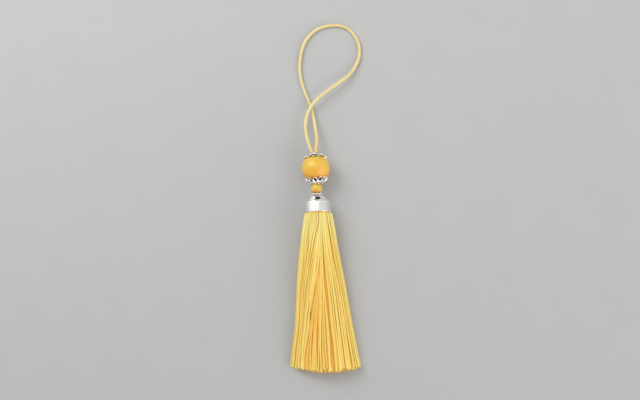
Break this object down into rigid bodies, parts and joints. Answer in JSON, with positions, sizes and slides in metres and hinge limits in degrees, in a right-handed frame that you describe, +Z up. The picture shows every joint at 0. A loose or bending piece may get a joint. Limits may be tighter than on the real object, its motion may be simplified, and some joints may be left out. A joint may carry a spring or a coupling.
{
  "type": "pendant tassel",
  "caption": "Pendant tassel on a cord loop: a capped bead, a smaller bead, a metal cup and a fanned thread skirt, lying flat.",
  "frame": {"origin": "on the surface that the tassel lies on, under the middle of the tassel without its cord", "axes": "+Y along the tassel from the skirt towards the cord loop, +Z up from the surface"},
  "size_m": [0.0373, 0.1524, 0.0119],
  "materials": {
    "nylon_cord": "twisted, slightly glossy",
    "filigree_silver": "bright, dark in the recesses",
    "amber_bead": "glossy, faintly clouded",
    "polished_silver": "polished",
    "silky_thread": "silky"
  },
  "bodies": {
    "root": {"hanging_cord": "nylon_cord", "upper_bead_cap": "filigree_silver", "large_bead": "amber_bead", "lower_bead_cap": "filigree_silver", "small_bead": "amber_bead", "small_bead_cap": "filigree_silver", "tassel_cap": "polished_silver", "skirt": "silky_thread"}
  },
  "joints": []
}
